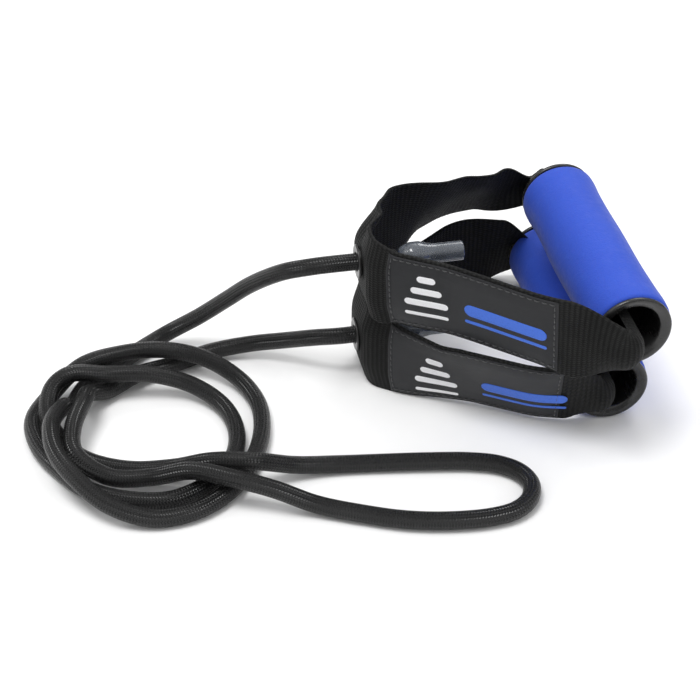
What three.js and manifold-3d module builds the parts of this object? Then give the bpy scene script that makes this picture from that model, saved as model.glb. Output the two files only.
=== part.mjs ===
// Resistance band: two stacked strap handles joined by one sleeved elastic cord,
// which lies in a loose coil with a long bight. Millimetres, +Z up.
// +X runs from the cord towards the grips, both grips lie along Y, and the
// origin is the middle of the stacked handles at floor level.
import * as THREE from 'three';
import Module from 'manifold-3d';
import { mergeVertices } from 'three/addons/utils/BufferGeometryUtils.js';

const wasm = await Module();
wasm.setup();

// Touching pieces keep this much air between them.
const GAP = 0.3;
const ROUND_SEGMENTS = 28;

// Webbing loop: it stands on its edge, and narrows where it curls into a grip.
const WEB_WIDTH = 40;
const WEB_THICK = 2.4;
const WEB_CURLED = 17;
const WEB_STEP = 7;
const BEND_ARC_STEP = 0.35;
const BEND_X = -58;

// Grip: foam over a hard tube, with a flared cap in each end.
const GRIP_LENGTH = 107;
const FOAM_R = 16.5;
const FOAM_ROUND = 2;
const TUBE_R = 13.8;
const TUBE_BORE_R = 12.5;
const CAP_R = 16;
const CAP_LIP_R = 13.9;
const CAP_BORE_R = 11.2;
const CAP_FLANGE = 2;
const CAP_SPIGOT = 14;

// Label: a satin tape sewn to the outside of the front leg.
const LABEL_HEIGHT = 37;
const LABEL_THICK = 0.6;

// Cord: fabric sleeve over a latex core, led through an eyelet in the bend.
const SLEEVE_R = 3.7;
const SLEEVE_BORE_R = 2.9;
const LATEX_R = 2.4;
const CORD_SIDES = 8;
const CORD_STEPS = 80;
const SLEEVE_END_X = BEND_X + 17;
const PIVOT_X = BEND_X - 12;
const EYELET_BORE_R = 4.2;
const EYELET_BARREL_R = 5.2;
const EYELET_FLANGE_R = 7.4;
const EYELET_FLANGE = 0.8;

// Bare end of the latex tube beyond the sleeve, swollen over a plug.
const BARE_LENGTH = 28;
const NECK_R = 3.6;
const DOME_R = 6;
const TAIL_R = 4.2;
const TAIL_BORE_R = 2.8;
const PLUG_R = 3.8;
const PLUG_AT = 7.4;

// The two handles. Corners are [x, y, bend radius] of the webbing's middle line,
// from the bend along the front leg, through the grip and back along the far leg.
// The spans are the stretches of x where both legs narrow and where the label lies.
const LOWER = {
  name: 'lower',
  webZ: WEB_WIDTH / 2,
  gripX: 41.8,
  gripY: 16.5,
  gripZ: FOAM_R,
  cordY: 17,
  narrows: { from: 20, to: 38 },
  labelSpan: { from: -47, to: 18 },
  corners: [
    [-56.8, 6, 9], [-22, -19.5, 60], [8, -38, 40], [41.8, -47, 6.5],
    [41.8, 74.5, 6.5], [-4, 66, 30], [-56.8, 30, 8],
  ],
};
const UPPER = {
  name: 'upper',
  webZ: WEB_WIDTH * 1.5 + 1,
  gripX: 40,
  gripY: -3.7,
  gripZ: 60.5,
  cordY: 13,
  narrows: { from: 12, to: 32 },
  labelSpan: { from: -50, to: 10 },
  corners: [
    [-56.8, -4, 9], [-28, -21, 60], [40, -81, 6.5],
    [40, 66, 6.5], [-4, 58, 30], [-56.8, 27, 8],
  ],
};

// Middle line of the cord from the upper handle to the lower one.
const FROM_UPPER_HANDLE = [
  [PIVOT_X - SLEEVE_R - GAP, UPPER.cordY, UPPER.webZ], [-81, 14, 60], [-88, 17.5, 57],
  [-95, 23.5, 51], [-103, 32, 41.5], [-112, 40, 30], [-124, 47, 17.5], [-139.5, 50, 7.5],
  [-155, 42, 4.5],
];
const FIRST_TURN = [
  [-168.5, 30.5, 4.5], [-178, 21, 5], [-184.5, 6.5, 6.5], [-187.5, -1.5, 13.5], [-193, -15, 16],
  [-192.5, -32, 15], [-185, -48, 12.5], [-173, -61, 8], [-156, -67.5, 4], [-138, -65.5, 4],
  [-122, -54, 4], [-111.5, -37, 4], [-106, -19.5, 4], [-105.5, -1.5, 4], [-112, 15, 5.5],
  [-125.5, 26, 10], [-142.5, 31, 13], [-160.5, 32.5, 12.5],
];
const SECOND_TURN = [
  [-178, 28.5, 11.5], [-192, 19.5, 5], [-201, 4, 4], [-199.5, -14, 4], [-191.5, -31, 4],
  [-181, -45.5, 4], [-165.5, -54.5, 4], [-148, -57.5, 4], [-132, -50, 4], [-120.5, -36, 4],
  [-117, -18.5, 4], [-121, -1, 4.5], [-133, 11.5, 7.5], [-150, 16, 12], [-167.5, 17.5, 13.5],
  [-183.5, 16.5, 16.5],
];
const BIGHT_OUT = [
  [-191.5, 11.5, 14], [-194.5, -1, 8.5], [-189.5, -13.5, 4], [-179.5, -28, 4.5], [-163.5, -36, 4],
  [-146, -40.5, 6], [-130.5, -47, 12.5], [-113.5, -51, 13], [-96.5, -49, 6.5], [-79, -49, 4],
  [-43.5, -54, 4], [-25, -57.5, 4], [-14, -61.5, 4], [-6.5, -68, 4],
];
const BIGHT_BACK = [
  [-4, -76, 4], [-7, -84.5, 4], [-14, -90, 4], [-24, -92, 4], [-41, -91, 4], [-58.5, -87, 4],
  [-75.5, -80, 4], [-92, -72.5, 5], [-108, -66.5, 10.5], [-124, -60, 13.5], [-139, -52, 13],
  [-155, -46.5, 7.5], [-172, -43, 7.5], [-184.5, -31.5, 12], [-184.5, -16.5, 13.5],
];
const TO_LOWER_HANDLE = [
  [-178.5, 0, 15], [-176.5, 9.5, 10.5], [-168, 17, 5], [-155, 25, 5.5], [-138, 31.5, 4],
  [-121, 37, 4.5], [-103, 36, 7], [-88, 29, 12], [-75.5, 20.5, 18],
  [-66, LOWER.cordY, LOWER.webZ], [-54, LOWER.cordY, LOWER.webZ],
  [SLEEVE_END_X, LOWER.cordY, LOWER.webZ],
];

const FINISH = {
  foam: { color: 0x1a3fc8, roughness: 0.8, metalness: 0 },
  gripTube: { color: 0x2a2b2e, roughness: 0.5, metalness: 0 },
  cap: { color: 0x101113, roughness: 0.3, metalness: 0 },
  webbing: { color: 0x17171a, roughness: 0.85, metalness: 0 },
  satin: { color: 0x202024, roughness: 0.45, metalness: 0 },
  sleeve: { color: 0x18181b, roughness: 0.6, metalness: 0 },
  latex: { color: 0xb9bcc0, roughness: 0.25, metalness: 0 },
  eyelet: { color: 0x1b1c1e, roughness: 0.35, metalness: 0 },
};

const group = new THREE.Group();

// Volume inside a closed mesh, negative when its faces point inwards.
function signedVolume(geometry) {
  const position = geometry.getAttribute('position');
  const index = geometry.getIndex();
  const corner = [new THREE.Vector3(), new THREE.Vector3(), new THREE.Vector3()];
  let sum = 0;
  for (let i = 0; i < index.count; i += 3) {
    corner.forEach((point, k) => point.fromBufferAttribute(position, index.getX(i + k)));
    sum += corner[0].dot(corner[1].clone().cross(corner[2])) / 6;
  }
  return sum;
}

// One closed body with shared vertices and faces pointing outwards.
function closedBody(geometry) {
  const bare = geometry.clone();
  bare.deleteAttribute('normal');
  bare.deleteAttribute('uv');
  const merged = mergeVertices(bare, 1e-4);
  const inwards = signedVolume(merged) < 0;
  const order = [];
  const index = merged.getIndex();
  for (let i = 0; i < index.count; i += 3) {
    const [a, b, c] = [index.getX(i), index.getX(i + 1), index.getX(i + 2)];
    const hasArea = a !== b && b !== c && c !== a;
    if (hasArea) order.push(a, inwards ? c : b, inwards ? b : c);
  }
  merged.setIndex(order);
  return merged;
}

function toManifold(geometry) {
  const body = closedBody(geometry);
  return new wasm.Manifold(new wasm.Mesh({
    numProp: 3,
    vertProperties: new Float32Array(body.getAttribute('position').array),
    triVerts: new Uint32Array(body.getIndex().array),
  }));
}

function subtract(from, tool) {
  const mesh = toManifold(from).subtract(toManifold(tool)).getMesh();
  const geometry = new THREE.BufferGeometry();
  geometry.setAttribute('position', new THREE.BufferAttribute(mesh.vertProperties, 3));
  geometry.setIndex(new THREE.BufferAttribute(mesh.triVerts, 1));
  return geometry;
}

function addPiece(name, geometry, finish, x = 0, y = 0, z = 0) {
  const body = closedBody(geometry);
  body.computeVertexNormals();
  const mesh = new THREE.Mesh(body, new THREE.MeshStandardMaterial(finish));
  mesh.name = name;
  mesh.position.set(x, y, z);
  group.add(mesh);
}

// A turned solid around Y from [radius, height] pairs.
function turned(profile) {
  return new THREE.LatheGeometry(profile.map(([r, y]) => new THREE.Vector2(r, y)), ROUND_SEGMENTS);
}

// A turned solid around X.
function turnedAlongX(profile) {
  return turned(profile).rotateZ(-Math.PI / 2);
}

// The round of one corner of a path, as points along its arc.
function cornerArc(before, corner, after) {
  const point = new THREE.Vector2(corner[0], corner[1]);
  const back = new THREE.Vector2(before[0], before[1]).sub(point).normalize();
  const ahead = new THREE.Vector2(after[0], after[1]).sub(point).normalize();
  const radius = corner[2];
  const half = Math.acos(back.dot(ahead)) / 2;
  const middle = back.clone().add(ahead).setLength(radius / Math.sin(half)).add(point);
  const start = back.clone().multiplyScalar(radius / Math.tan(half)).add(point).sub(middle);
  const end = ahead.clone().multiplyScalar(radius / Math.tan(half)).add(point).sub(middle);
  const sweep = Math.atan2(start.cross(end), start.dot(end));
  const count = Math.ceil(Math.abs(sweep) / BEND_ARC_STEP);
  const origin = new THREE.Vector2();
  return Array.from({ length: count + 1 }, (_, i) => (
    start.clone().rotateAround(origin, (sweep * i) / count).add(middle)
  ));
}

// Middle line of a handle's webbing, seen from above, as one closed run of points.
function webbingLine(corners) {
  const rounded = corners.flatMap((corner, i) => cornerArc(
    corners[(i + corners.length - 1) % corners.length], corner, corners[(i + 1) % corners.length],
  ));
  return rounded.flatMap((point, i) => {
    const next = rounded[(i + 1) % rounded.length];
    const count = Math.ceil(point.distanceTo(next) / WEB_STEP);
    return Array.from({ length: count }, (_, k) => point.clone().lerp(next, k / count));
  });
}

// The line moved sideways, outwards for a positive distance.
function offsetLine(line, distance, closed) {
  const last = line.length - 1;
  return line.map((point, i) => {
    const before = closed ? line[(i + last) % line.length] : line[Math.max(i - 1, 0)];
    const after = closed ? line[(i + 1) % line.length] : line[Math.min(i + 1, last)];
    const along = after.clone().sub(before).normalize();
    return new THREE.Vector2(point.x + along.y * distance, point.y - along.x * distance);
  });
}

// Share of the way through a span, eased at both ends.
function easedShare(x, span) {
  return THREE.MathUtils.smoothstep(x, span.from, span.to);
}

// Webbing narrows and settles to the grip's height as it nears a mouth.
function narrowTowardsGrip(geometry, handle) {
  const position = geometry.getAttribute('position');
  for (let i = 0; i < position.count; i += 1) {
    const share = easedShare(position.getX(i), handle.narrows);
    const width = THREE.MathUtils.lerp(1, WEB_CURLED / WEB_WIDTH, share);
    const middle = THREE.MathUtils.lerp(handle.webZ, handle.gripZ, share);
    position.setZ(i, middle + (position.getZ(i) - WEB_WIDTH / 2) * width);
  }
}

function buildStrap(handle) {
  const line = webbingLine(handle.corners);
  const shape = new THREE.Shape(offsetLine(line, WEB_THICK / 2, true));
  shape.holes.push(new THREE.Path(offsetLine(line, -WEB_THICK / 2, true)));
  const band = new THREE.ExtrudeGeometry(shape, { depth: WEB_WIDTH, bevelEnabled: false });
  narrowTowardsGrip(band, handle);
  const holeR = EYELET_BARREL_R + GAP;
  const hole = new THREE.CylinderGeometry(holeR, holeR, WEB_THICK * 4, ROUND_SEGMENTS);
  hole.rotateZ(Math.PI / 2).translate(BEND_X + WEB_THICK / 2, handle.cordY, handle.webZ);
  addPiece(`${handle.name}_strap`, subtract(band, hole), FINISH.webbing);
}

// The part of a line between two x positions, cut exactly at both.
function stretchOf(line, span) {
  const cut = (x) => {
    const i = line.findIndex((point, k) => k > 0 && line[k - 1].x <= x && point.x > x);
    const share = (x - line[i - 1].x) / (line[i].x - line[i - 1].x);
    return line[i - 1].clone().lerp(line[i], share);
  };
  const between = line.filter((point) => point.x > span.from + 1 && point.x < span.to - 1);
  return [cut(span.from), ...between, cut(span.to)];
}

function buildLabel(handle) {
  const line = webbingLine(handle.corners);
  const span = handle.labelSpan;
  const frontLeg = line.slice(0, line.findIndex((point) => point.x > span.to) + 1);
  const sewn = stretchOf(frontLeg, span);
  const inner = WEB_THICK / 2 + GAP;
  const outline = [
    ...offsetLine(sewn, inner, false),
    ...offsetLine(sewn, inner + LABEL_THICK, false).reverse(),
  ];
  const tape = new THREE.ExtrudeGeometry(new THREE.Shape(outline), {
    depth: LABEL_HEIGHT, bevelEnabled: false,
  });
  addPiece(`${handle.name}_label`, tape, FINISH.satin, 0, 0, handle.webZ - LABEL_HEIGHT / 2);
}

// A cap around Y with its face at 0 and its spigot reaching up into the grip tube.
function capGeometry() {
  const spigotR = TUBE_BORE_R - GAP;
  return turned([
    [CAP_LIP_R, 0.3], [CAP_LIP_R + 0.8, 0], [CAP_R - 0.6, 0], [CAP_R, 0.6], [CAP_R, CAP_FLANGE - 0.5],
    [CAP_R - 0.5, CAP_FLANGE], [spigotR, CAP_FLANGE], [spigotR, CAP_FLANGE + CAP_SPIGOT],
    [CAP_BORE_R, CAP_FLANGE + CAP_SPIGOT], [CAP_BORE_R, 3.2], [11.5, 1.7], [12.3, 0.8],
    [CAP_LIP_R, 0.3],
  ]);
}

function buildGrip(handle) {
  const half = GRIP_LENGTH / 2 - CAP_FLANGE - GAP;
  const at = [handle.gripX, handle.gripY, handle.gripZ];
  const foamBore = TUBE_R + GAP;
  addPiece(`${handle.name}_foam_grip`, turned([
    [foamBore, -half], [FOAM_R - FOAM_ROUND, -half], [FOAM_R - 0.5, -half + 0.5],
    [FOAM_R, -half + FOAM_ROUND], [FOAM_R, half - FOAM_ROUND], [FOAM_R - 0.5, half - 0.5],
    [FOAM_R - FOAM_ROUND, half], [foamBore, half], [foamBore, -half],
  ]), FINISH.foam, ...at);
  addPiece(`${handle.name}_grip_tube`, turned([
    [TUBE_BORE_R, -half], [TUBE_R, -half], [TUBE_R, half], [TUBE_BORE_R, half],
    [TUBE_BORE_R, -half],
  ]), FINISH.gripTube, ...at);
  const face = GRIP_LENGTH / 2;
  addPiece(`${handle.name}_front_cap`, capGeometry(), FINISH.cap,
    handle.gripX, handle.gripY - face, handle.gripZ);
  addPiece(`${handle.name}_rear_cap`, capGeometry().rotateX(Math.PI), FINISH.cap,
    handle.gripX, handle.gripY + face, handle.gripZ);
}

function buildEyelet(handle) {
  const inside = WEB_THICK / 2 + GAP;
  const outside = inside + EYELET_FLANGE;
  addPiece(`${handle.name}_eyelet`, turnedAlongX([
    [EYELET_BORE_R, -outside], [EYELET_FLANGE_R, -outside], [EYELET_FLANGE_R, -inside],
    [EYELET_BARREL_R, -inside], [EYELET_BARREL_R, inside], [EYELET_FLANGE_R, inside],
    [EYELET_FLANGE_R, outside], [EYELET_BORE_R, outside], [EYELET_BORE_R, -outside],
  ]), FINISH.eyelet, BEND_X + WEB_THICK / 2, handle.cordY, handle.webZ);
}

// The bare tube end and the plug that keeps it from pulling back through the eyelet.
function buildCordStop(handle) {
  const x = SLEEVE_END_X + GAP;
  addPiece(`${handle.name}_tube_end`, turnedAlongX([
    [0, 0], [NECK_R, 0], [4.6, 1.6], [5.6, 4], [DOME_R, PLUG_AT], [5.6, 10.4], [4.7, 12.8],
    [TAIL_R, 15.5], [TAIL_R, BARE_LENGTH], [TAIL_BORE_R, BARE_LENGTH], [TAIL_BORE_R, 11.6],
    [4.3, 9.5], [4.3, 5.5], [2.6, 3.2], [0, 3],
  ]), FINISH.latex, x, handle.cordY, handle.webZ);
  addPiece(`${handle.name}_cord_plug`, new THREE.SphereGeometry(PLUG_R, 16, 12), FINISH.gripTube,
    x + PLUG_AT, handle.cordY, handle.webZ);
}

function cordCurve() {
  const points = [
    ...FROM_UPPER_HANDLE, ...FIRST_TURN, ...SECOND_TURN, ...BIGHT_OUT, ...BIGHT_BACK,
    ...TO_LOWER_HANDLE,
  ].map(([x, y, z]) => new THREE.Vector3(x, y, z));
  const curve = new THREE.CatmullRomCurve3(points, false, 'centripetal');
  curve.arcLengthDivisions = 1500;
  return curve;
}

function circle(ShapeClass, radius) {
  const shape = new ShapeClass();
  shape.absarc(0, 0, radius, 0, Math.PI * 2);
  return shape;
}

function buildCord() {
  const settings = {
    steps: CORD_STEPS, extrudePath: cordCurve(), curveSegments: CORD_SIDES / 2, bevelEnabled: false,
  };
  const ring = circle(THREE.Shape, SLEEVE_R);
  ring.holes.push(circle(THREE.Path, SLEEVE_BORE_R));
  addPiece('cord_sleeve', new THREE.ExtrudeGeometry(ring, settings), FINISH.sleeve);
  const core = circle(THREE.Shape, LATEX_R);
  addPiece('cord_latex_core', new THREE.ExtrudeGeometry(core, settings), FINISH.latex);
}

// The last stretch of cord that swings with the upper handle. Its round end is
// centred on the pivot, so it turns in place against the main cord's flat end.
function buildUpperCordEnd() {
  const quarter = Array.from({ length: 6 }, (_, i) => {
    const angle = (Math.PI / 2) * (i / 5);
    return [SLEEVE_R * Math.sin(angle), -SLEEVE_R * Math.cos(angle)];
  });
  const length = SLEEVE_END_X - PIVOT_X;
  addPiece('upper_cord_end', turnedAlongX([...quarter, [SLEEVE_R, length], [0, length]]),
    FINISH.sleeve, PIVOT_X, UPPER.cordY, UPPER.webZ);
}

for (const handle of [LOWER, UPPER]) {
  buildStrap(handle);
  buildLabel(handle);
  buildGrip(handle);
  buildEyelet(handle);
  buildCordStop(handle);
}
buildUpperCordEnd();
buildCord();

export default group;
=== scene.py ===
"""Resistance band: two stacked strap handles joined by one sleeved elastic cord.

Metres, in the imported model's frame: +X runs from the cord to the grips, both
grips lie along Y, and the floor is z = 0. The rigid pieces stand where their
CAD nodes do, with profiles in millimetres that repeat the CAD's. The soft
pieces follow the same lines as their CAD solids.
"""

import math

import bmesh
import bpy
import numpy as np
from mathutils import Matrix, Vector


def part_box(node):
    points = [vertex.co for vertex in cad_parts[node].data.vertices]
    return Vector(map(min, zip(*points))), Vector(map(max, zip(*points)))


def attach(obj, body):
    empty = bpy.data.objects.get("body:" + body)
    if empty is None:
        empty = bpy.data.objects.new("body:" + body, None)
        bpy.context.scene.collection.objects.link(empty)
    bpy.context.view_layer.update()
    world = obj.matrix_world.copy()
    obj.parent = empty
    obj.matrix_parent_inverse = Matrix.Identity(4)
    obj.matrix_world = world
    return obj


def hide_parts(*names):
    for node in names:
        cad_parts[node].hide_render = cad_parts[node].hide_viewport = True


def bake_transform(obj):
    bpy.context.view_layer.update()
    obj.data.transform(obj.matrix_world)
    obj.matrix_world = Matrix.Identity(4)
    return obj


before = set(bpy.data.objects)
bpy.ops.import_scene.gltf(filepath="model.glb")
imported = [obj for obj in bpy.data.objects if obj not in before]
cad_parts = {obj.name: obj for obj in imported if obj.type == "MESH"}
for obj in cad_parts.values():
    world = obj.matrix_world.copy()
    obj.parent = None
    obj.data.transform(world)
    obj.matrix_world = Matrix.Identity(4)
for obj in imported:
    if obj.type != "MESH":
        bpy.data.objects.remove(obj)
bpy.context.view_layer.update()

MM = 0.001

# Webbing loop, as in the CAD: it stands on edge and narrows where it curls into a grip.
WEB_WIDTH = 40 * MM
WEB_THICK = 1.9 * MM
WEB_CURLED = 17 * MM
WEB_CURL_DEPTH = 6 * MM
RIB_PITCH = 2.1 * MM
RIB_HEIGHT = 0.2 * MM
YARN_PITCH = 1.15 * MM
WEB_STEP = 0.3 * MM
BEND_X = -58 * MM

# Where along X the far leg's sag and the near leg's dip start, are whole, end and are gone.
SAG_SPAN = (-20 * MM, 12 * MM, 30 * MM, 40 * MM)
DIP_SPAN = (-50 * MM, -42 * MM, -28 * MM, -18 * MM)
# The edges curl in from the bend to this X, and the top edge does between these Y.
TUCK_END_X = -36 * MM
TOP_TUCK_Y = (7 * MM, 19 * MM)

# Label: satin tape sewn to the outside of the front leg, LABEL_HALF of the webbing's
# half width each way.
LABEL_HALF = 0.93
LABEL_THICK = 0.35 * MM
LABEL_GAP = 0.05 * MM
PRINT_GAP = 0.25 * MM
WEFT_PITCH = 0.42 * MM
WARP_PITCH = 0.55 * MM
STITCH_INSET = 1.5 * MM
STITCH_LENGTH = 2.3 * MM
STITCH_PITCH = 3.2 * MM
STITCH_RADIUS = 0.24 * MM
STITCH_BOW = 0.3 * MM
STITCH_SINK = 0.05 * MM
THREAD_PLY = 0.3 * MM

# Print: bars as (name, length, thickness, height above bars_at) in millimetres, and a
# wide and a fine stripe.
LABEL_BARS = [("top", 8, 3.4, 7), ("middle", 13.5, 3.4, 0.5), ("low", 19, 3.4, -6), ("fine", 19, 1.8, -12.5)]
STRIPE_LENGTH = 37 * MM
STRIPE_HEIGHT = 6.4 * MM
FINE_STRIPE_HEIGHT = 1.7 * MM
FINE_STRIPE_DROP = 6.6 * MM
PRINT_FILM = 0.1 * MM
PRINT_UV_STEP = 0.5 * MM

# Cord: fabric sleeve over a latex core, led through an eyelet in each bend.
CORD_DIAMETER = 7.4 * MM
CORD_STEP = 1.1 * MM
CORD_SIDES = 28
BRAID_PITCH = 1.16 * MM

# Grip, in millimetres: foam over a hard tube, with a cap in each end.
FOAM_R = 16.5
FOAM_BORE_R = 14.1
TUBE_R = 13.8
TUBE_BORE_R = 12.5

# The two handles. Corners are (x, y, bend radius) of the webbing's middle line in
# millimetres, from the bend along the front leg, through the grip and back.
# edge_tuck is how far both edges curl in at the bend, and bend_tuck how much more the
# top edge does. Each lean is how far that leg's top edge stands out, then the x where
# the lean starts, is whole, ends and is gone. narrows is where both legs curl up for
# the grip, and label_span where the label lies. sink is how far the far leg sags before
# the grip, and dip how far the near leg's top edge dips by the label. bars_at and
# stripes_at are places of the print, along the label and up from its middle.
LOWER = {
    "name": "lower",
    "body": "lower_handle",
    "grip_body": "lower_grip",
    "web_z": 20 * MM,
    "grip_z": 16.5 * MM,
    "cord_y": 17 * MM,
    "edge_tuck": 3 * MM,
    "bend_tuck": 0,
    "front_lean": (7 * MM, -57 * MM, -15 * MM, 24 * MM, 38 * MM),
    "back_lean": (-6 * MM, 2 * MM, 26 * MM, 34 * MM, 41 * MM),
    "narrows": (20 * MM, 38 * MM),
    "label_span": (-47 * MM, 18 * MM),
    "sink": 0,
    "dip": 2 * MM,
    "bars_at": (22 * MM, -1.5 * MM),
    "stripes_at": (61 * MM, -3 * MM),
    "corners": [
        (-56.8, 6, 9), (-22, -19.5, 60), (8, -38, 40), (41.8, -47, 6.5),
        (41.8, 74.5, 6.5), (-4, 66, 30), (-56.8, 30, 8),
    ],
}
UPPER = {
    "name": "upper",
    "body": "upper_handle",
    "grip_body": "upper_grip",
    "web_z": 61 * MM,
    "grip_z": 60.5 * MM,
    "cord_y": 13 * MM,
    "edge_tuck": 2.5 * MM,
    "bend_tuck": 7 * MM,
    "front_lean": (3.5 * MM, -57 * MM, -46 * MM, 0, 28 * MM),
    "back_lean": (-10 * MM, -42 * MM, -16 * MM, 8 * MM, 32 * MM),
    "narrows": (12 * MM, 32 * MM),
    "label_span": (-50 * MM, 10 * MM),
    "sink": 4.5 * MM,
    "dip": 0,
    "bars_at": (17.5 * MM, 2.5 * MM),
    "stripes_at": (53 * MM, -1 * MM),
    "corners": [
        (-56.8, -4, 9), (-28, -21, 60), (40, -81, 6.5),
        (40, 66, 6.5), (-4, 58, 30), (-56.8, 27, 8),
    ],
}

# Middle line of the cord in millimetres, from inside the upper handle to inside the
# lower one. These are the CAD's points.
THROUGH_UPPER_EYELET = [(-41, 13, 61), (-58, 13, 61), (-74, 13, 61)]
FROM_UPPER_HANDLE = [
    (-81, 14, 60), (-88, 17.5, 57), (-95, 23.5, 51), (-103, 32, 41.5), (-112, 40, 30),
    (-124, 47, 17.5), (-139.5, 50, 7.5), (-155, 42, 4.5),
]
FIRST_TURN = [
    (-168.5, 30.5, 4.5), (-178, 21, 5), (-184.5, 6.5, 6.5), (-187.5, -1.5, 13.5), (-193, -15, 16),
    (-192.5, -32, 15), (-185, -48, 12.5), (-173, -61, 8), (-156, -67.5, 4), (-138, -65.5, 4),
    (-122, -54, 4), (-111.5, -37, 4), (-106, -19.5, 4), (-105.5, -1.5, 4), (-112, 15, 5.5),
    (-125.5, 26, 10), (-142.5, 31, 13), (-160.5, 32.5, 12.5),
]
SECOND_TURN = [
    (-178, 28.5, 11.5), (-192, 19.5, 5), (-201, 4, 4), (-199.5, -14, 4), (-191.5, -31, 4),
    (-181, -45.5, 4), (-165.5, -54.5, 4), (-148, -57.5, 4), (-132, -50, 4), (-120.5, -36, 4),
    (-117, -18.5, 4), (-121, -1, 4.5), (-133, 11.5, 7.5), (-150, 16, 12), (-167.5, 17.5, 13.5),
    (-183.5, 16.5, 16.5),
]
BIGHT_OUT = [
    (-191.5, 11.5, 14), (-194.5, -1, 8.5), (-189.5, -13.5, 4), (-179.5, -28, 4.5),
    (-163.5, -36, 4), (-146, -40.5, 6), (-130.5, -47, 12.5), (-113.5, -51, 13),
    (-96.5, -49, 6.5), (-79, -49, 4), (-43.5, -54, 4), (-25, -57.5, 4), (-14, -61.5, 4),
    (-6.5, -68, 4),
]
BIGHT_BACK = [
    (-4, -76, 4), (-7, -84.5, 4), (-14, -90, 4), (-24, -92, 4), (-41, -91, 4), (-58.5, -87, 4),
    (-75.5, -80, 4), (-92, -72.5, 5), (-108, -66.5, 10.5), (-124, -60, 13.5), (-139, -52, 13),
    (-155, -46.5, 7.5), (-172, -43, 7.5), (-184.5, -31.5, 12), (-184.5, -16.5, 13.5),
]
TO_LOWER_HANDLE = [
    (-178.5, 0, 15), (-176.5, 9.5, 10.5), (-168, 17, 5), (-155, 25, 5.5), (-138, 31.5, 4),
    (-121, 37, 4.5), (-103, 36, 7), (-88, 29, 12), (-75.5, 20.5, 18), (-66, 17, 20),
    (-54, 17, 20), (-41, 17, 20),
]

# The camera looks at the foot of the webbing's bend.
CAMERA_TARGET = Vector((-58 * MM, 32 * MM, 0))
CAMERA_FORWARD = Vector((0.1524, 0.7840, -0.6018))
CAMERA_DISTANCE = 0.75
CAMERA_LENS = 84.9
SENSOR_WIDTH = 36

# The sky's strength, which rises between two heights of the unit dome.
HORIZON_LIGHT = 0.16
ZENITH_LIGHT = 0.95
SKY_RISE = (0.05, 0.75)

# Disc lights: name, place, diameter and watts, all aimed at the same point.
LIGHTS_AIM = (-0.05, 0, 0.03)
LIGHTS = [
    ("key", (-0.45, -0.15, 1.5), 0.7, 13),
    ("rim", (0.5, 0.8, 0.9), 0.6, 3.5),
    ("fill", (0.9, -0.7, 0.6), 0.8, 0.8),
]
FLOOR_SIZE = 8


# ---------------------------------------------------------------- small helpers

def smooth_share(value, low, high):
    """0 below low, 1 above high, eased between."""
    share = np.clip((np.asarray(value, float) - low) / (high - low), 0, 1)
    return share * share * (3 - 2 * share)


def rise_and_fall(value, starts, whole, ends, gone):
    """0, then 1 from whole to ends, then 0 again."""
    return smooth_share(value, starts, whole) * (1 - smooth_share(value, ends, gone))


def mix(a, b, share):
    return a + (b - a) * share


def unit(vectors):
    return vectors / np.maximum(np.linalg.norm(vectors, axis=-1, keepdims=True), 1e-12)


def lengths_along(points):
    steps = np.linalg.norm(np.diff(points, axis=0), axis=1)
    return np.concatenate([[0], np.cumsum(steps)])


def resampled(points, step):
    """The line cut into equal lengths of about step."""
    travelled = lengths_along(points)
    count = max(2, round(travelled[-1] / step) + 1)
    at = np.linspace(0, travelled[-1], count)
    return np.stack([np.interp(at, travelled, axis) for axis in points.T], axis=1)


def centripetal_curve(knots, per_span=24):
    """Centripetal Catmull-Rom curve through every knot."""
    knots = np.asarray(knots, float)
    padded = np.vstack([2 * knots[0] - knots[1], knots, 2 * knots[-1] - knots[-2]])
    spans = []
    for p0, p1, p2, p3 in zip(padded, padded[1:], padded[2:], padded[3:]):
        t1 = math.sqrt(np.linalg.norm(p1 - p0))
        t2 = t1 + math.sqrt(np.linalg.norm(p2 - p1))
        t3 = t2 + math.sqrt(np.linalg.norm(p3 - p2))
        t = np.linspace(t1, t2, per_span, endpoint=False)[:, None]
        a1 = mix(p0, p1, t / t1)
        a2 = mix(p1, p2, (t - t1) / (t2 - t1))
        a3 = mix(p2, p3, (t - t2) / (t3 - t2))
        b1 = mix(a1, a2, t / t2)
        b2 = mix(a2, a3, (t - t1) / (t3 - t1))
        spans.append(mix(b1, b2, (t - t1) / (t2 - t1)))
    return np.vstack([*spans, knots[-1:]])


def corner_arc(before, corner, after, arc_step):
    """Points along the round of one corner (x, y, radius)."""
    point = np.array(corner[:2], float)
    if corner[2] <= 0:
        return [point]
    back = unit(np.array(before[:2], float) - point)
    ahead = unit(np.array(after[:2], float) - point)
    half = math.acos(float(np.clip(back @ ahead, -1, 1))) / 2
    middle = point + unit(back + ahead) * corner[2] / math.sin(half)
    start = point + back * corner[2] / math.tan(half) - middle
    end = point + ahead * corner[2] / math.tan(half) - middle
    sweep = math.atan2(start[0] * end[1] - start[1] * end[0], start @ end)
    count = max(2, math.ceil(abs(sweep) / arc_step))
    arc = []
    for i in range(count + 1):
        angle = sweep * i / count
        turn = np.array([[math.cos(angle), -math.sin(angle)], [math.sin(angle), math.cos(angle)]])
        arc.append(turn @ start + middle)
    return arc


def rounded_loop(corners, arc_step=0.15):
    """Closed outline through (x, y, radius) corners, each rounded to its radius."""
    count = len(corners)
    points = []
    for i, corner in enumerate(corners):
        points += corner_arc(corners[i - 1], corner, corners[(i + 1) % count], arc_step)
    return np.array(points)


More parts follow.
